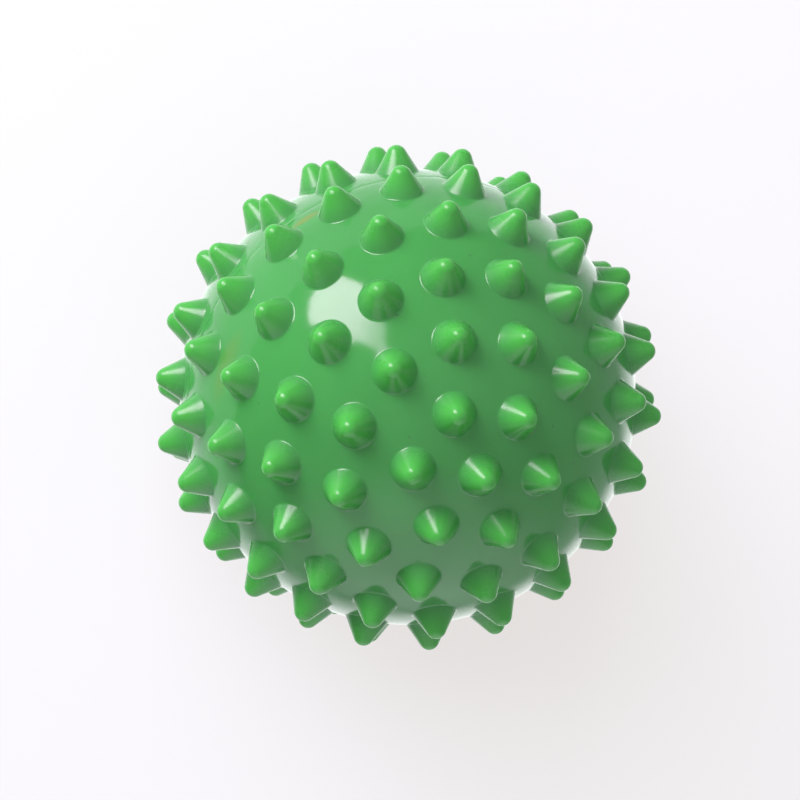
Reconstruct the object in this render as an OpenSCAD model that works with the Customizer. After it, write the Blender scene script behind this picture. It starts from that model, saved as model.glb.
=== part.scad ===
// Spiky massage ball: two welded half shells with moulded spikes, an air valve and its plug.
// Millimetres. The origin is the ball's centre and +Z runs through the spike at the upper pole.

/* [Ball] */
// Diameter of the skin between the spikes
body_d = 67.3; // [60:0.1:90]
// Thickness of the moulded shell
wall = 2.6; // [2.2:0.1:4]

/* [Spikes] */
// Height of a spike above the skin
spike_h = 3.85; // [3:0.05:6]
// Diameter of a spike where it leaves the skin
spike_base_d = 6.4; // [5:0.1:7.6]
// Radius of a spike's rounded tip
spike_tip_r = 1.5; // [0.8:0.1:2]
// Gaps between the rings of spikes from pole to pole, an odd number so that the halves meet in one
ring_gaps = 11; // [7:2:11]
// Angle of the first spike in each ring, from the upper pole down, in degrees
ring_start = [0, 11.5, 27, 1.5, 12, 5.5, 1.5, 14.5, 6.5, 20, 30]; // [0:0.5:60]

/* [Joint at the equator] */
// How far the upper half's tongue reaches down inside the lower half
tongue_h = 2; // [1:0.1:4]
// Thickness of the tongue
tongue_t = 1.1; // [0.8:0.1:1.2]
// Gap round the tongue
tongue_clearance = 0.08; // [0.05:0.01:0.2]

/* [Valve] */
// Diameter of the boss inside the lower half that carries the valve
boss_d = 11; // [9:0.1:12]
// Depth of the boss, from the skin inwards
boss_h = 6; // [5:0.1:9]
// Diameter of the valve's flange
flange_d = 7.8; // [7:0.1:8.4]
// Thickness of the valve's flange at its middle
flange_t = 1.4; // [1:0.1:2]
// Diameter of the valve's stem
stem_d = 5.8; // [5:0.1:7]
// Diameter of the barb that holds the valve behind the boss
barb_d = 8; // [7:0.1:9]
// Length of the barb
barb_h = 3.4; // [2:0.1:5]
// Gap between the valve and the boss
valve_clearance = 0.05; // [0.02:0.01:0.1]
// Diameter of the pump needle that the valve takes
needle_d = 2; // [1.6:0.1:2.4]
// Gap round the pump needle
needle_clearance = 0.1; // [0.05:0.01:0.2]

/* [Plug] */
// Diameter of the plug's head
plug_head_d = 5; // [4:0.1:5.4]
// Thickness of the plug's head
plug_head_t = 1; // [0.6:0.1:1.4]
// Radius of the rounded edge of the plug's head
plug_edge_r = 0.5; // [0.2:0.1:0.6]
// Depth of the recess that the head sits in
plug_recess = 0.3; // [0.2:0.05:0.6]
// Diameter of the plug's shank
plug_shank_d = 3.1; // [2.9:0.1:3.8]
// Length of the plug's shank
plug_shank_h = 4.4; // [3:0.1:5]
// Length of the taper at the shank's end
plug_taper_h = 0.8; // [0.4:0.1:1.2]
// Gap between the plug and the valve
plug_clearance = 0.05; // [0.02:0.01:0.1]
// Space left past the end of the shank
plug_end_gap = 0.3; // [0.1:0.1:0.6]

/* [Hidden] */
$fn = 96;

// Shell
body_r = body_d / 2;
cavity_r = body_r - wall;
tongue_r = cavity_r + tongue_t;

// Spike, standing on the skin above the origin: a cone tangent to a ball at its tip
spike_base_r = spike_base_d / 2;
base_z = sqrt(pow(body_r, 2) - pow(spike_base_r, 2));
tip_z = body_r + spike_h - spike_tip_r;
base_to_tip = norm([spike_base_r, tip_z - base_z]);
flank_angle = atan2(spike_base_r, tip_z - base_z) - asin(spike_tip_r / base_to_tip);
tangent_r = spike_tip_r * cos(flank_angle);
tangent_z = tip_z + spike_tip_r * sin(flank_angle);
// The flank runs on a little under the skin, inside the thin wall round the tongue
foot_sink = 0.3;
foot_r = spike_base_r + foot_sink * tan(flank_angle);
foot_z = base_z - foot_sink;

// Rings of spikes: the same arc between rings as between the spikes of the widest rings
upper_rings = (ring_gaps + 1) / 2;
function ring_tilt(k) = k * 180 / ring_gaps;
function ring_count(k) = max(1, round(2 * ring_gaps * sin(ring_tilt(k))));
function spike_turn(k, i) = ring_start[k % len(ring_start)] + i * 360 / ring_count(k);

// Valve, at the lower pole
stem_hole_r = stem_d / 2 + valve_clearance;
flange_hole_r = flange_d / 2 + valve_clearance;
flange_z = -body_r + flange_t;
boss_z = -body_r + boss_h;
barb_z = boss_z + valve_clearance;
needle_hole_r = needle_d / 2 + needle_clearance;
barb_end_r = needle_hole_r + 0.9;

// Plug
head_z = -body_r + plug_recess;
seat_r = plug_shank_d / 2 + plug_clearance;
seat_z = head_z + plug_shank_h + plug_end_gap;
recess_r = plug_head_d / 2 + 0.2;

// Right half of a profile between two heights
module right_half(low, high) {
    intersection() {
        children();
        translate([0, low]) square([body_d, high - low]);
    }
}

// Section of the plain shell
module shell_section() {
    difference() {
        circle(r = body_r);
        circle(r = cavity_r);
    }
}

// Straight flank and round tip of one spike
module spike_section() {
    polygon([
        [0, foot_z],
        [foot_r, foot_z],
        [tangent_r, tangent_z],
        [0, tangent_z]
    ]);
    right_half(tangent_z, body_r + spike_h + 1)
        translate([0, tip_z]) circle(r = spike_tip_r);
}

module spike() {
    rotate_extrude($fn = 40) spike_section();
}

module spike_ring(k) {
    for (i = [0 : ring_count(k) - 1])
        rotate([0, ring_tilt(k), spike_turn(k, i)]) spike();
}

// Upper hemisphere with its spikes and the tongue round its rim
module upper_half() {
    color("limegreen") {
        rotate_extrude() {
            right_half(0, body_d) shell_section();
            translate([cavity_r, -tongue_h]) square([tongue_t, tongue_h]);
        }
        for (k = [0 : upper_rings - 1]) spike_ring(k);
    }
}

// Section of the lower half: the rebate for the tongue, the boss and its stepped hole
module lower_section() {
    difference() {
        union() {
            right_half(-body_d, 0) shell_section();
            right_half(-body_r, boss_z) intersection() {
                circle(r = body_r);
                translate([0, -body_r]) square([boss_d / 2, boss_h]);
            }
        }
        translate([0, -tongue_h - tongue_clearance])
            square([tongue_r + tongue_clearance, body_r]);
        translate([0, -body_d]) square([stem_hole_r, body_d]);
        translate([0, flange_z - body_r]) square([flange_hole_r, body_r]);
    }
}

// Lower hemisphere with its spikes; the valve takes the place of the one at the pole
module lower_half() {
    color("limegreen") {
        rotate_extrude() lower_section();
        for (k = [upper_rings : ring_gaps - 1]) spike_ring(k);
    }
}

// Soft valve: flange flush with the skin, stem through the boss, barb behind it
module valve_body() {
    color("seagreen")
        rotate_extrude() difference() {
            union() {
                right_half(-body_r, flange_z) intersection() {
                    circle(r = body_r);
                    translate([0, -body_r]) square([flange_d / 2, flange_t]);
                }
                translate([0, flange_z]) square([stem_d / 2, barb_z - flange_z]);
                polygon([
                    [0, barb_z],
                    [barb_d / 2, barb_z],
                    [barb_end_r, barb_z + barb_h],
                    [0, barb_z + barb_h]
                ]);
            }
            translate([0, -body_d]) square([recess_r, body_d - body_r + plug_recess]);
            translate([0, -body_d]) square([seat_r, body_d + seat_z]);
            translate([0, -body_d]) square([needle_hole_r, body_d]);
        }
}

// Push-in plug: round-edged head, straight shank and tapered end
module valve_plug() {
    shank_r = plug_shank_d / 2;
    head_r = plug_head_d / 2;
    color("forestgreen")
        rotate_extrude() {
            translate([0, head_z])
                square([shank_r, plug_shank_h - plug_taper_h]);
            polygon([
                [0, head_z + plug_shank_h - plug_taper_h],
                [shank_r, head_z + plug_shank_h - plug_taper_h],
                [shank_r - plug_taper_h / 2, head_z + plug_shank_h],
                [0, head_z + plug_shank_h]
            ]);
            translate([0, head_z - plug_head_t])
                square([head_r - plug_edge_r, plug_head_t]);
            translate([0, head_z - plug_head_t + plug_edge_r])
                square([head_r, plug_head_t - plug_edge_r]);
            translate([head_r - plug_edge_r, head_z - plug_head_t + plug_edge_r])
                circle(r = plug_edge_r);
        }
}

upper_half();
lower_half();
valve_body();
valve_plug();
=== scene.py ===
import math

import bmesh
import bpy
import numpy as np
from mathutils import Matrix, Vector
from mathutils.geometry import delaunay_2d_cdt


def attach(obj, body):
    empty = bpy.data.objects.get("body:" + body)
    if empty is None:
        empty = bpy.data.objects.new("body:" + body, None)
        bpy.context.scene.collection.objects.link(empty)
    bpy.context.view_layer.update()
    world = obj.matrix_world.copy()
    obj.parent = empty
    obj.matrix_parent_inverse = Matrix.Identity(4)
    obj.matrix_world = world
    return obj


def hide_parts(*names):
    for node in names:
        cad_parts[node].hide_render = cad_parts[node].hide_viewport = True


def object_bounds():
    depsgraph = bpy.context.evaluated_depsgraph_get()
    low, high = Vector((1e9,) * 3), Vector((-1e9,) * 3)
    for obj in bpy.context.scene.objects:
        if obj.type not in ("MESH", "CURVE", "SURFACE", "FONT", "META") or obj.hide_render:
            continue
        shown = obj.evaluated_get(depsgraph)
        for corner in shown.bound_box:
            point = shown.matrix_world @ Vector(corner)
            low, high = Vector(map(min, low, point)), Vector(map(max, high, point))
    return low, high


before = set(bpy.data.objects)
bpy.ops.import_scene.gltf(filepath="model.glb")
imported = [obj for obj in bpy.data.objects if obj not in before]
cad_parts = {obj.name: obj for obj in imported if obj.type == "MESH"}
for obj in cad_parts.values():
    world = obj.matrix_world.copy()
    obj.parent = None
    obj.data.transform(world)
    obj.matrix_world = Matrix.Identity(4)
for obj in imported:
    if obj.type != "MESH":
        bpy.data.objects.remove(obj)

CAD_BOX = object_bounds()
MM = 0.001

# ---------------------------------------------------------------------------
# Sizes of the ball in millimetres, the same as the design's
# ---------------------------------------------------------------------------
SKIN_R = 33.65
WALL = 2.6
SPIKE_H = 3.85
SPIKE_BASE_R = 3.2
SPIKE_TIP_R = 1.5
RING_GAPS = 11
RING_START = [0, 11.5, 27, 1.5, 12, 5.5, 1.5, 14.5, 6.5, 20, 30]
TONGUE_H = 2.0
TONGUE_T = 1.1
TONGUE_GAP = 0.08
BOSS_R = 5.5
BOSS_H = 6.0
FLANGE_R = 3.9
FLANGE_T = 1.4
STEM_R = 2.9
BARB_R = 4.0
BARB_H = 3.4
VALVE_GAP = 0.05
NEEDLE_HOLE_R = 1.1
BARB_END_R = NEEDLE_HOLE_R + 0.9
PLUG_HEAD_R = 2.5
PLUG_HEAD_T = 1.0
PLUG_EDGE_R = 0.5
PLUG_RECESS = 0.3
RECESS_R = PLUG_HEAD_R + 0.2
PLUG_SHANK_R = 1.55
PLUG_SHANK_H = 4.4
PLUG_TAPER_H = 0.8
PLUG_GAP = 0.05
PLUG_END_GAP = 0.3

CAVITY_R = SKIN_R - WALL
TONGUE_R = CAVITY_R + TONGUE_T
UPPER_RINGS = (RING_GAPS + 1) // 2
FLANGE_Z = -SKIN_R + FLANGE_T
BOSS_Z = -SKIN_R + BOSS_H
BARB_Z = BOSS_Z + VALVE_GAP
HEAD_Z = -SKIN_R + PLUG_RECESS
SEAT_Z = HEAD_Z + PLUG_SHANK_H + PLUG_END_GAP

# Fine shape that only the looks need
FILLET_R = 0.45  # where a spike's flank meets the skin
SEAM_R = 0.09  # rounded rims, which leave a fine groove round the equator
BREAK = 0.1  # small chamfer on a moulded edge
PLUG_DIMPLE = [[0, 0.16], [0.35, 0.14], [0.6, 0.06], [0.75, 0]]  # radius and depth
SHARP_ANGLE = math.radians(35)  # edges that turn more than this stay crisp

# Fineness of the meshes
SPIKE_SIDES = 36
SHELL_SIDES = 132
LATHE_SIDES = 96
TIP_STEPS = 8
FLANK_POINTS = 6
FILLET_STEPS = 5
RIM_STEPS = 4
UPPER_CAVITY_STEPS = 40
LOWER_CAVITY_STEPS = 34
CAVITY_POLE_ANGLE = 0.03  # where the fan at the cavity's pole starts
HEAD_EDGE_STEPS = 8
FACE_POINTS = 6
FLOOR_SIDES = 128
SKIN_STEP = 0.95  # spacing of the points that fill the skin between the spikes
SKIN_KEEP_OFF = 0.6  # how many such steps they stay away from an edge
SAME_POINT = 1e-9


# ---------------------------------------------------------------------------
# Meshes
# ---------------------------------------------------------------------------
def arc(centre, radius, start, end, steps):
    """Points (rho, z) = centre + radius * (sin a, cos a), with a even from start to end."""
    a = np.linspace(start, end, steps + 1)
    return np.stack([centre[0] + radius * np.sin(a), centre[1] + radius * np.cos(a)], 1)


def spike_profile():
    """Half section of a spike from its tip down: an arc about the tip's centre, the straight
    flank tangent to it, and a fillet tangent to the flank and to the skin's circle."""
    base = np.array([SPIKE_BASE_R, math.sqrt(SKIN_R**2 - SPIKE_BASE_R**2)])
    tip = np.array([0.0, SKIN_R + SPIKE_H - SPIKE_TIP_R])
    reach = tip - base
    flank = math.atan2(SPIKE_BASE_R, reach[1]) - math.asin(SPIKE_TIP_R / np.hypot(*reach))
    up = np.array([-math.sin(flank), math.cos(flank)])
    out = np.array([math.cos(flank), math.sin(flank)])
    # The fillet's centre is base + FILLET_R * out + t * up, SKIN_R + FILLET_R from the middle
    start = base + FILLET_R * out
    b, c = start @ up, start @ start - (SKIN_R + FILLET_R) ** 2
    t = -b + math.sqrt(b * b - c)
    centre = start + t * up
    cap = arc(tip, SPIKE_TIP_R, 0, math.pi / 2 - flank, TIP_STEPS)
    side = np.linspace(cap[-1], base + t * up, FLANK_POINTS)[1:]
    end = math.atan2(centre[0], centre[1])
    fillet = arc(centre, -FILLET_R, math.pi / 2 - flank, end, FILLET_STEPS)[1:]
    return np.vstack([cap, side, fillet])


def ring_tilt(k):
    return k * math.pi / RING_GAPS


def ring_count(k):
    return max(1, round(2 * RING_GAPS * math.sin(ring_tilt(k))))


def spike_places(rings):
    """Tilt from +Z and turn about it of every spike in some rings, in radians."""
    tilt = [ring_tilt(k) for k in rings for _ in range(ring_count(k))]
    turn = [
        math.radians(RING_START[k]) + i * math.tau / ring_count(k)
        for k in rings
        for i in range(ring_count(k))
    ]
    return np.array(tilt), np.array(turn)


def turned(points, tilt, turn):
    """Points (..., 3) tilted about Y and then turned about Z."""
    x, y, z = np.moveaxis(points, -1, 0)
    x, z = x * np.cos(tilt) + z * np.sin(tilt), z * np.cos(tilt) - x * np.sin(tilt)
    return np.stack(
        [x * np.cos(turn) - y * np.sin(turn), x * np.sin(turn) + y * np.cos(turn), z], -1
    )


def lathe(profile, sides):
    """Points (len(profile), sides, 3): each (rho, z) carried round Z."""
    a = np.arange(sides) * math.tau / sides
    rho, z = np.asarray(profile)[:, :1], np.asarray(profile)[:, 1:]
    return np.stack([rho * np.cos(a), rho * np.sin(a), z + 0 * a], -1)


def strips(rows):
    """Quads between neighbouring rows of vertex numbers (n, sides), each row a closed ring."""
    a, b = rows[:-1], rows[1:]
    return np.stack([a, b, np.roll(b, -1, -1), np.roll(a, -1, -1)], -1).reshape(-1, 4)


def fan(centre, ring):
    """Triangles from one vertex to a closed ring."""
    return np.stack([np.full(len(ring), centre), ring, np.roll(ring, -1)], 1)


def new_piece(name, points, faces):
    """A closed, smooth piece at the origin, from points in millimetres and blocks of faces."""
    mesh = bpy.data.meshes.new(name)
    mesh.from_pydata((points * MM).tolist(), [], [f for block in faces for f in block.tolist()])
    work = bmesh.new()
    work.from_mesh(mesh)
    bmesh.ops.recalc_face_normals(work, faces=work.faces)
    work.to_mesh(mesh)
    work.free()
    mesh.shade_smooth()
    mesh.set_sharp_from_angle(angle=SHARP_ANGLE)
    piece = bpy.data.objects.new(name, mesh)
    bpy.context.scene.collection.objects.link(piece)
    return piece


def lathe_piece(name, profile, sides=LATHE_SIDES):
    """A solid of revolution. A profile that starts and ends on the axis is closed by fans, and
    any other is a loop that comes back to its own start."""
    profile = np.array(profile, float)
    if profile[0, 0] > 0:
        rows = np.arange(len(profile) * sides).reshape(-1, sides)
        faces = [strips(np.vstack([rows, rows[:1]]))]
        return new_piece(name, lathe(profile, sides).reshape(-1, 3), faces)
    body = lathe(profile[1:-1], sides).reshape(-1, 3)
    rows = np.arange(len(body)).reshape(-1, sides)
    ends = np.array([[0, 0, profile[0, 1]], [0, 0, profile[-1, 1]]])
    faces = [strips(rows), fan(len(body), rows[0]), fan(len(body) + 1, rows[-1])]
    return new_piece(name, np.vstack([body, ends]), faces)


def sphere_fill(step):
    """Even points on the unit sphere: the i-th of n at z = 1 - (2i + 1) / n, turned on by the
    golden angle each time."""
    n = int(4 * math.pi * (SKIN_R / step) ** 2)
    i = np.arange(n)
    z = 1 - (2 * i + 1) / n
    a = i * math.pi * (3 - math.sqrt(5))
    r = np.sqrt(1 - z * z)
    return np.stack([r * np.cos(a), r * np.sin(a), z], 1)


def skin_triangles(points, loops, loose, side):
    """Triangles of the skin between closed loops of its points, over the loose points there.
    They are joined up on the flat map (x, y) / (1 + side * z), on which circles stay round."""
    used = np.concatenate([*loops, loose])
    d = points[used] / np.linalg.norm(points[used], axis=1, keepdims=True)
    flat = d[:, :2] / (1 + side * d[:, 2:])
    sizes = [len(loop) for loop in loops]
    starts = np.cumsum([0, *sizes])
    edges = [
        (int(s + i), int(s + (i + 1) % n)) for s, n in zip(starts, sizes) for i in range(n)
    ]
    made = delaunay_2d_cdt([Vector(p) for p in flat.tolist()], edges, [], 0, SAME_POINT)
    tris = np.array([[made[3][v][0] for v in f] for f in made[2]])
    owner = np.concatenate([np.repeat(np.arange(len(loops)), sizes), -1 - np.arange(len(loose))])
    o = owner[tris]
    return used[tris[(o[:, 0] != o[:, 1]) | (o[:, 1] != o[:, 2])]]


def half_shell(name, rings, side, wall, pole_z=None):
    """One half of the ball, side 1 for the upper and -1 for the lower. Its outside is the skin
    with a lathed profile at each spike's place, over points that fill the skin evenly. The
    profile wall goes on from the rim along the inside, to the pole at pole_z or, without one,
    out to the edge of the valve's hole."""
    profile = spike_profile()
    tilt, turn = spike_places(rings)
    one = lathe(profile[1:], SPIKE_SIDES)
    spikes = turned(one[None], tilt[:, None, None], turn[:, None, None])
    tips = turned(np.array([0, 0, profile[0, 1]]), tilt, turn)
    inside = lathe(wall, SHELL_SIDES)

    fill = sphere_fill(SKIN_STEP)
    margin = SKIN_KEEP_OFF * (SKIN_STEP / SKIN_R)
    axes = turned(np.array([0, 0, 1.0]), tilt, turn)
    clear = (fill @ axes.T).max(1) < math.cos(math.atan2(*profile[-1]) + margin)
    clear &= fill[:, 2] * side > SEAM_R / SKIN_R + margin
    if pole_z is None:
        clear &= np.hypot(fill[:, 0], fill[:, 1]) > wall[-1][0] / SKIN_R + margin
    fill = fill[clear] * SKIN_R

    blocks = [spikes, tips, inside, fill, np.array([0, 0, pole_z or 0.0])]
    numbers = np.split(
        np.arange(sum(b.size // 3 for b in blocks)), np.cumsum([b.size // 3 for b in blocks])[:-1]
    )
    spikes_n = numbers[0].reshape(spikes.shape[:3])
    inside_n = numbers[2].reshape(inside.shape[:2])
    faces = [strips(rows) for rows in spikes_n]
    faces += [fan(tip, rows[0]) for tip, rows in zip(numbers[1], spikes_n)]
    faces.append(strips(inside_n))
    loops = [inside_n[0], *spikes_n[:, -1]]
    if pole_z is None:
        loops.append(inside_n[-1])
        blocks.pop()
    else:
        faces.append(fan(numbers[4][0], inside_n[-1]))
    points = np.vstack([b.reshape(-1, 3) for b in blocks])
    faces.append(skin_triangles(points, loops, numbers[3], side))
    return new_piece(name, points, faces)


def skin_z(rho):
    """Height of the skin's circle at a distance from the axis."""
    return math.sqrt(SKIN_R**2 - rho**2)


def upper_wall():
    """From the rim, round its edge, over the flat and the tongue, up the cavity to the pole."""
    edge = arc((SKIN_R - SEAM_R, SEAM_R), SEAM_R, math.pi / 2, math.pi, RIM_STEPS)
    rim = [[skin_z(SEAM_R), SEAM_R], *edge[1:]]
    tongue = [
        [TONGUE_R, 0],
        [TONGUE_R, BREAK - TONGUE_H],
        [TONGUE_R - BREAK, -TONGUE_H],
        [CAVITY_R + BREAK, -TONGUE_H],
        [CAVITY_R, BREAK - TONGUE_H],
    ]
    cavity = arc((0, 0), CAVITY_R, math.pi / 2, CAVITY_POLE_ANGLE, UPPER_CAVITY_STEPS)
    return np.vstack([rim, tongue, cavity])


def lower_wall():
    """From the rim, round its edge, down the rebate and the cavity, over the boss, and out
    through the stepped hole to its chamfered edge on the skin."""
    edge = arc((SKIN_R - SEAM_R, -SEAM_R), SEAM_R, math.pi / 2, 0, RIM_STEPS)
    rebate_r = TONGUE_R + TONGUE_GAP
    rebate_z = -TONGUE_H - TONGUE_GAP
    stem_hole_r = STEM_R + VALVE_GAP
    flange_hole_r = FLANGE_R + VALVE_GAP
    cavity_start = math.acos(rebate_z / CAVITY_R)
    cavity_end = math.pi - math.asin(BOSS_R / CAVITY_R)
    cavity = arc((0, 0), CAVITY_R, cavity_start, cavity_end, LOWER_CAVITY_STEPS)
    edge_r = flange_hole_r + BREAK
    return np.vstack(
        [
            [[skin_z(SEAM_R), -SEAM_R]],
            edge[1:],
            [[rebate_r, 0], [rebate_r, rebate_z]],
            cavity,
            [
                [BOSS_R, BOSS_Z - BREAK],
                [BOSS_R - BREAK, BOSS_Z],
                [stem_hole_r, BOSS_Z],
                [stem_hole_r, FLANGE_Z],
                [flange_hole_r, FLANGE_Z],
                [flange_hole_r, BREAK - skin_z(flange_hole_r)],
                [edge_r, -skin_z(edge_r)],
            ],
        ]
    )


def valve_section():
    """Loop round the valve's half section, from the recess for the plug's head outwards."""
    face = np.linspace(RECESS_R + BREAK, FLANGE_R - BREAK, FACE_POINTS)
    seat_r = PLUG_SHANK_R + PLUG_GAP
    return [
        [RECESS_R, BREAK - skin_z(RECESS_R)],
        *[[r, -skin_z(r)] for r in face],
        [FLANGE_R, BREAK - skin_z(FLANGE_R)],
        [FLANGE_R, FLANGE_Z],
        [STEM_R, FLANGE_Z],
        [STEM_R, BARB_Z],
        [BARB_R - BREAK, BARB_Z],
        [BARB_R, BARB_Z + BREAK],
        [BARB_END_R, BARB_Z + BARB_H],
        [NEEDLE_HOLE_R, BARB_Z + BARB_H],
        [NEEDLE_HOLE_R, SEAT_Z],
        [seat_r, SEAT_Z],
        [seat_r, HEAD_Z + BREAK],
        [seat_r + BREAK, HEAD_Z],
        [RECESS_R, HEAD_Z],
    ]


def plug_section():
    """The plug's half section, from the middle of its round-edged head to its tapered end."""
    top = HEAD_Z - PLUG_HEAD_T
    flat_r = PLUG_HEAD_R - PLUG_EDGE_R
    dimple = [[rho, top + depth] for rho, depth in PLUG_DIMPLE]
    edge = arc((flat_r, top + PLUG_EDGE_R), PLUG_EDGE_R, math.pi, math.pi / 2, HEAD_EDGE_STEPS)
    end_r = PLUG_SHANK_R - PLUG_TAPER_H / 2
    end_z = HEAD_Z + PLUG_SHANK_H
    return [
        *dimple,
        *edge,
        [PLUG_HEAD_R, HEAD_Z - BREAK / 2],
        [PLUG_HEAD_R - BREAK / 2, HEAD_Z],
        [PLUG_SHANK_R, HEAD_Z],
        [PLUG_SHANK_R, end_z - PLUG_TAPER_H],
        [end_r + BREAK, end_z - BREAK],
        [end_r, end_z],
        [0, end_z],
    ]


upper_shell = half_shell("upper_shell", range(UPPER_RINGS), 1, upper_wall(), CAVITY_R)
lower_shell = half_shell("lower_shell", range(UPPER_RINGS, RING_GAPS), -1, lower_wall())
valve = lathe_piece("valve", valve_section())
plug = lathe_piece("plug", plug_section())

for piece, node, body, slot in (
    (upper_shell, "upper_half", "ball", "shell"),
    (lower_shell, "lower_half", "ball", "shell"),
    (valve, "valve_body", "ball", "valve"),
    (plug, "valve_plug", "plug", "plug"),
):
    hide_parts(node)
    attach(piece, body)


# ---------------------------------------------------------------------------
# Materials
# ---------------------------------------------------------------------------
SHELL_GREENS = (0.036, 0.2, 0.0435), (0.0395, 0.218, 0.0475)
VALVE_GREENS = (0.018, 0.135, 0.024), (0.021, 0.15, 0.027)
PLUG_GREENS = (0.021, 0.165, 0.027), (0.024, 0.18, 0.031)
TIP_GREEN = (0.042, 0.275, 0.039, 1)
WELD_BROWN = (0.12, 0.17, 0.022, 1)
SHELL_ROUGHNESS = 0.09
VALVE_ROUGHNESS = 0.35
PLUG_ROUGHNESS = 0.2
FLANK_ROUGHNESS = 0.17  # added on the spikes
SPECK_SHADE = 0.4  # green of a speck, for 1 round it
PVC_IOR = 1.45

# Turn and tilt of each weld stain in degrees, its reach in millimetres and its strength
WELD_STAINS = (-101, 86, 3.2, 0.7), (-60, 73, 7, 0.25)


def new_material(name):
    material = bpy.data.materials.new(name)
    material.use_nodes = True
    return material


def add_node(material, kind, inputs, **settings):
    """A shader node with its settings, and with its inputs set to values or linked to sockets."""
    node = material.node_tree.nodes.new("ShaderNode" + kind)
    for key, value in settings.items():
        setattr(node, key, value)
    join(material, node, inputs)
    return node


def join(material, node, inputs):
    for key, value in inputs.items():
        if isinstance(value, bpy.types.NodeSocket):
            material.node_tree.links.new(value, node.inputs[key])
        else:
            node.inputs[key].default_value = value


def noise(material, scale, detail):
    """Noise from 0 to 1 in the piece's own space, with this many waves to the metre."""
    place = add_node(material, "TexCoord", {}).outputs["Object"]
    inputs = {"Vector": place, "Scale": scale, "Detail": detail}
    return add_node(material, "TexNoise", inputs).outputs["Fac"]


def ramp(material, value, start, end, low=0.0, high=1.0):
    """Smooth step from low to high as the value goes from start to end."""
    inputs = {"Value": value, "From Min": start, "From Max": end, "To Min": low, "To Max": high}
    node = add_node(material, "MapRange", inputs, interpolation_type="SMOOTHSTEP")
    return node.outputs["Result"]


def mixed(material, factor, a, b):
    """Colour a where the factor is 0 and b where it is 1."""
    node = add_node(material, "Mix", {0: factor, 6: a, 7: b}, data_type="RGBA")
    return node.outputs[2]


def blend(material, factor, a, b):
    """Value a where the factor is 0 and b where it is 1."""
    node = add_node(material, "Mix", {0: factor, 2: a, 3: b}, data_type="FLOAT")
    return node.outputs[0]


def distance_from(material, place, spot, stretch=(1, 1, 1)):
    """Distance in metres from a spot, with each axis stretched by its own factor."""
    inputs = {0: place, 1: tuple(-v for v in spot)}
    off = add_node(material, "VectorMath", inputs, operation="ADD").outputs["Vector"]
    inputs = {0: off, 1: stretch}
    off = add_node(material, "VectorMath", inputs, operation="MULTIPLY").outputs["Vector"]
    return add_node(material, "VectorMath", {0: off}, operation="LENGTH").outputs["Value"]


def moulded_pvc(name, deep, light, rough):
    """Glossy soft PVC: slow drifts between two greens, a few dark specks, uneven gloss, and a
    skin that isn't quite smooth. Gives the material, its colour and its roughness so far."""
    material = new_material(name)
    shader = material.node_tree.nodes["Principled BSDF"]
    drift = ramp(material, noise(material, scale=55, detail=3), 0.3, 0.7)
    color = mixed(material, drift, (*deep, 1), (*light, 1))
    speck = ramp(material, noise(material, scale=700, detail=0), 0.85, 0.88, low=0, high=0.5)
    color = mixed(material, speck, color, (deep[0], deep[1] * SPECK_SHADE, deep[2], 1))
    wear = noise(material, scale=140, detail=4)
    gloss = ramp(material, wear, 0.3, 0.7, low=rough - 0.02, high=rough + 0.03)
    grain = noise(material, scale=260, detail=3)
    bump = add_node(material, "Bump", {"Strength": 0.1, "Distance": 0.0002, "Height": grain})
    join(
        material,
        shader,
        {
            "Base Color": color,
            "Roughness": gloss,
            "Normal": bump.outputs["Normal"],
            "IOR": PVC_IOR,
            "Subsurface Weight": 0.3,
            "Subsurface Radius": (0.5, 1.0, 0.3),
            "Subsurface Scale": 0.0015,
        },
    )
    return material, color, gloss


def shell_pvc():
    """The shells' PVC, yellower in the thin tips of the spikes, where light comes through, less
    glossy on their flanks, and browned in places where the two halves were welded."""
    material, color, gloss = moulded_pvc("shell_pvc", *SHELL_GREENS, SHELL_ROUGHNESS)
    place = add_node(material, "TexCoord", {}).outputs["Object"]
    far = distance_from(material, place, (0, 0, 0))
    tip = ramp(material, far, (SKIN_R - 0.2) * MM, (SKIN_R + 0.7 * SPIKE_H) * MM)
    color = mixed(material, tip, color, TIP_GREEN)
    foot, above = (SKIN_R - 0.1) * MM, (SKIN_R + 0.3) * MM
    flank = ramp(material, far, foot, above, low=0, high=FLANK_ROUGHNESS)
    gloss = add_node(material, "Math", {0: gloss, 1: flank}, operation="ADD").outputs[0]
    for turn, tilt, along, strength in WELD_STAINS:
        spot = turned(np.array([0, 0, SKIN_R * MM]), math.radians(tilt), math.radians(turn))
        off = distance_from(material, place, spot.tolist(), stretch=(1, 1, 3))
        stain = ramp(material, off, along * MM, 0.3 * along * MM, low=0, high=strength)
        color = mixed(material, stain, color, WELD_BROWN)
    shader = material.node_tree.nodes["Principled BSDF"]
    join(material, shader, {"Base Color": color, "Roughness": gloss})
    return material


SHELL_PVC = shell_pvc()
VALVE_RUBBER = moulded_pvc("valve_rubber", *VALVE_GREENS, VALVE_ROUGHNESS)[0]
PLUG_PVC = moulded_pvc("plug_pvc", *PLUG_GREENS, PLUG_ROUGHNESS)[0]

upper_shell.data.materials.append(SHELL_PVC)
lower_shell.data.materials.append(SHELL_PVC)
valve.data.materials.append(VALVE_RUBBER)
plug.data.materials.append(PLUG_PVC)


# ---------------------------------------------------------------------------
# Floor, lights and camera
# ---------------------------------------------------------------------------
# Lengths in metres, radiance in W/m2/sr
FLOOR_R = 0.16
PAPER_COLOR = (0.107, 0.12, 0.145, 1)
PAPER_ROUGHNESS = 0.9
PAPER_GLOW_COLOR = (1, 0.937, 0.885, 1)
PAPER_GLOW, PAPER_GLOW_MIRRORED = 0.684, 0.3

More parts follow.
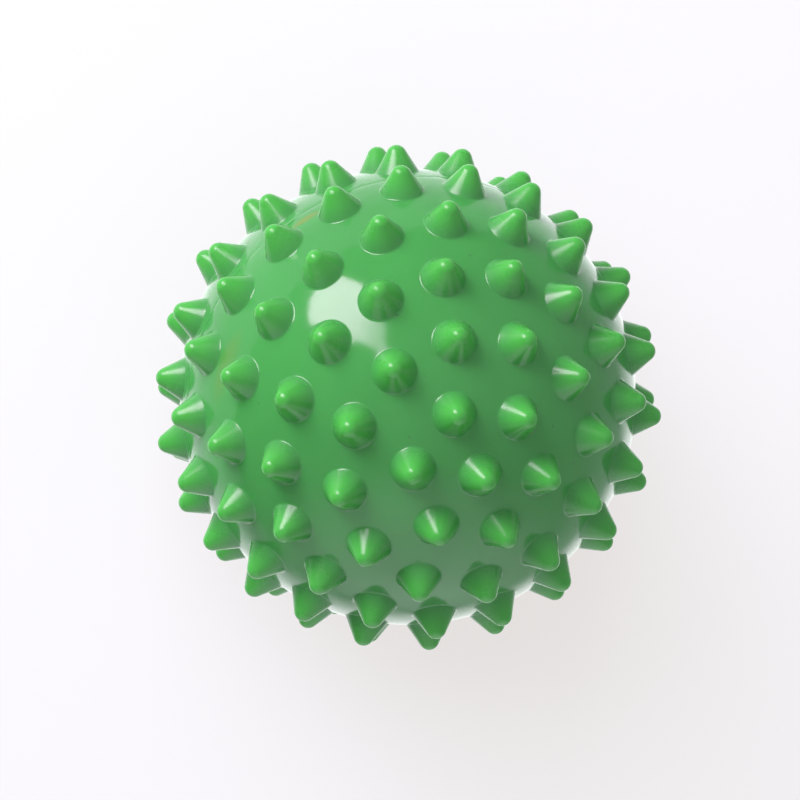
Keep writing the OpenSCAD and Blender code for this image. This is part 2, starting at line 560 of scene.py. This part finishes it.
CAMERA_RISE = math.radians(63.85)
CAMERA_ROLL = math.radians(137.35)
CAMERA_AWAY = 0.4837
CAMERA_LENS, CAMERA_SENSOR = 147.2, 36  # millimetres
CAMERA_CLIP = 0.01
AIM_RIGHT, AIM_UP = -0.00113, -0.00049

LIGHT_AWAY = 0.9
WINDOW_SIZE = (0.41, 0.97)
WINDOW_RADIANCE = 13
WINDOW_COLOR = (1, 0.77, 1)
WINDOW_LEAN = 0.55
WINDOW_LENGTH = 0.69
WINDOW_EDGE = 0.018
WINDOW_FADE = (1.1, 0.5)  # strengths at its middle and just short of its far end
WINDOW_FADE_SHORT = 0.02
SIDE_SIZE = (0.6, 0.6)
SIDE_RADIANCE = 6.2
OVER_FLOOR_RADIANCE = 19.6
GLOW_SIZE = (0.26, 0.26)
GLOW_RADIANCE = 1.0
GLOW_SHIFT = 0.045
GLOW_ABOVE_FLOOR = 0.0001

ROOM_COLOR = (0.975, 0.985, 1.05, 1)
ROOM_LIGHT = 0.85
ROOM_SEEN = 0.9


def floor_paper():
    """Pale paper that is partly lit from behind, less so in reflections, and can't be seen from
    below."""
    material = new_material("floor_paper")
    glossy = add_node(material, "LightPath", {}).outputs["Is Glossy Ray"]
    paper = material.node_tree.nodes["Principled BSDF"]
    join(
        material,
        paper,
        {
            "Base Color": PAPER_COLOR,
            "Roughness": PAPER_ROUGHNESS,
            "Emission Color": PAPER_GLOW_COLOR,
            "Emission Strength": blend(material, glossy, PAPER_GLOW, PAPER_GLOW_MIRRORED),
        },
    )
    clear = add_node(material, "BsdfTransparent", {}).outputs[0]
    below = add_node(material, "NewGeometry", {}).outputs["Backfacing"]
    either = add_node(material, "MixShader", {0: below, 1: paper.outputs[0], 2: clear})
    output = material.node_tree.nodes["Material Output"]
    join(material, output, {"Surface": either.outputs[0]})
    return material


def floor_disc():
    """A round floor under the ball, at the height of its lowest spikes."""
    a = np.arange(FLOOR_SIDES) * math.tau / FLOOR_SIDES
    z = CAD_BOX[0].z
    points = np.stack([FLOOR_R * np.cos(a), FLOOR_R * np.sin(a), z + 0 * a], 1)
    mesh = bpy.data.meshes.new("floor")
    mesh.from_pydata(points.tolist(), [], [list(range(len(a)))])
    mesh.materials.append(floor_paper())
    floor = bpy.data.objects.new("floor", mesh)
    bpy.context.scene.collection.objects.link(floor)
    return floor


# The camera looks at the ball from in front and above, turned on its own axis
back = Vector((0, -math.cos(CAMERA_RISE), math.sin(CAMERA_RISE)))
level_up = Vector((0, math.sin(CAMERA_RISE), math.cos(CAMERA_RISE)))
up = math.cos(CAMERA_ROLL) * level_up - math.sin(CAMERA_ROLL) * Vector((1, 0, 0))
right = up.cross(back)


def seen(x, y, z):
    """The direction with these parts to the right, up and towards the camera."""
    return (x * right + y * up + z * back).normalized()


def put(name, data, place, x, y, z):
    """An object at a place, with its own axes along x, y and z."""
    thing = bpy.data.objects.new(name, data)
    thing.matrix_world = Matrix.Translation(place) @ Matrix((x, y, z)).transposed().to_4x4()
    bpy.context.scene.collection.objects.link(thing)
    return thing


def add_camera():
    camera = bpy.data.cameras.new("camera")
    camera.lens = CAMERA_LENS
    camera.sensor_width = CAMERA_SENSOR
    camera.clip_start = CAMERA_CLIP
    place = CAMERA_AWAY * back + AIM_RIGHT * right + AIM_UP * up
    bpy.context.scene.camera = put("camera", camera, place, right, up, back)


def add_light(name, direction, along, size, radiance, away=LIGHT_AWAY, rays=("diffuse",), only=()):
    """A rectangular light that faces the ball, its width along a direction, unseen itself. Its
    power is pi times its radiance times its area. It gives some kinds of light and not others,
    and may light only some things."""
    light = bpy.data.lights.new(name, "AREA")
    light.shape = "RECTANGLE"
    light.size, light.size_y = size
    light.energy = math.pi * radiance * size[0] * size[1]
    y = direction.cross(along).normalized()
    lamp = put(name, light, direction * away, y.cross(direction), y, direction)
    lamp.visible_camera = False
    lamp.visible_diffuse = "diffuse" in rays
    lamp.visible_glossy = "glossy" in rays
    if only:
        lamp.light_linking.receiver_collection = bpy.data.collections.new(name)
        for thing in only:
            lamp.light_linking.receiver_collection.objects.link(thing)
    return lamp


def shape_window(lamp, lean, length, soft):
    """Masks a light to a leaning window with soft edges. Along its two ends y - lean * x stays
    the same, x and y being metres along the light's sides. It's dimmer towards the far end."""
    light = lamp.data
    light.use_nodes = True
    place = add_node(light, "NewGeometry", {}).outputs["Parametric"]
    across = add_node(light, "SeparateXYZ", {0: place}).outputs["X"]
    way = (-lean * light.size, light.size_y, 0)
    along = add_node(light, "VectorMath", {0: place, 1: way}, operation="DOT_PRODUCT")
    along = along.outputs["Value"]
    middle = sum(way) / 2
    start, end = middle - length / 2, middle + length / 2
    side = soft / light.size
    strength = ramp(light, along, middle, end - WINDOW_FADE_SHORT, *WINDOW_FADE)
    for value, outer, inner in (
        (along, start - soft, start + soft),
        (along, end + soft, end - soft),
        (across, 0, side),
        (across, 1, 1 - side),
    ):
        edge = ramp(light, value, outer, inner)
        strength = add_node(light, "Math", {0: strength, 1: edge}, operation="MULTIPLY").outputs[0]
    join(light, light.node_tree.nodes["Emission"], {"Strength": strength})


def fade_round(lamp):
    """Fades a light out from near its middle to its edge."""
    light = lamp.data
    light.use_nodes = True
    place = add_node(light, "NewGeometry", {}).outputs["Parametric"]
    off = distance_from(light, place, (0.5, 0.5, 0))
    strength = ramp(light, off, 0.2, 0.5, low=1, high=0)
    join(light, light.node_tree.nodes["Emission"], {"Strength": strength})


def add_studio():
    """A pale, even room round the ball. Its reflection is dim, but for a soft bright side and a
    brighter patch at the foot of the view. Each has a direction, and the cosines and strengths
    between which it rises."""
    world = bpy.data.worlds.new("studio")
    world.use_nodes = True
    bpy.context.scene.world = world
    place = add_node(world, "TexCoord", {}).outputs["Generated"]
    mirrored = 0.0
    for way, steps in (
        (seen(0.7, -0.6, 0.2), (-0.8, 0.6, 0.03, 0.6)),
        (seen(0, -1, 0.05), (0.55, 1.0, 0, 1.2)),
    ):
        turn = add_node(world, "VectorMath", {0: place, 1: way}, operation="DOT_PRODUCT")
        part = ramp(world, turn.outputs["Value"], *steps)
        mirrored = add_node(world, "Math", {0: mirrored, 1: part}, operation="ADD").outputs[0]
    rays = add_node(world, "LightPath", {}).outputs
    strength = blend(world, rays["Is Glossy Ray"], ROOM_LIGHT, mirrored)
    strength = blend(world, rays["Is Camera Ray"], strength, ROOM_SEEN)
    background = world.node_tree.nodes["Background"]
    join(world, background, {"Color": ROOM_COLOR, "Strength": strength})


floor = floor_disc()
add_camera()
window_side = seen(-0.444, 0.665, 0.600)
window_width = seen(-0.592, -0.721, 0.361)
both = ("diffuse", "glossy")
window = add_light("window", window_side, window_width, WINDOW_SIZE, WINDOW_RADIANCE, rays=both)
window.data.color = WINDOW_COLOR
shape_window(window, WINDOW_LEAN, WINDOW_LENGTH, WINDOW_EDGE)
add_light("by_the_window", seen(-0.61, 0.61, 0.5), right, SIDE_SIZE, SIDE_RADIANCE)
above = seen(-0.2, 0.42, 0.885)
add_light("over_the_floor", above, right, SIDE_SIZE, OVER_FLOOR_RADIANCE, only=[floor])
glow = add_light(
    "floor_glow",
    Vector((0, 0, -1)),
    right,
    GLOW_SIZE,
    GLOW_RADIANCE,
    away=-CAD_BOX[0].z - GLOW_ABOVE_FLOOR,
    rays=("glossy",),
)
glow.location.y += GLOW_SHIFT
fade_round(glow)
add_studio()
bpy.context.scene.view_settings.view_transform = "Standard"
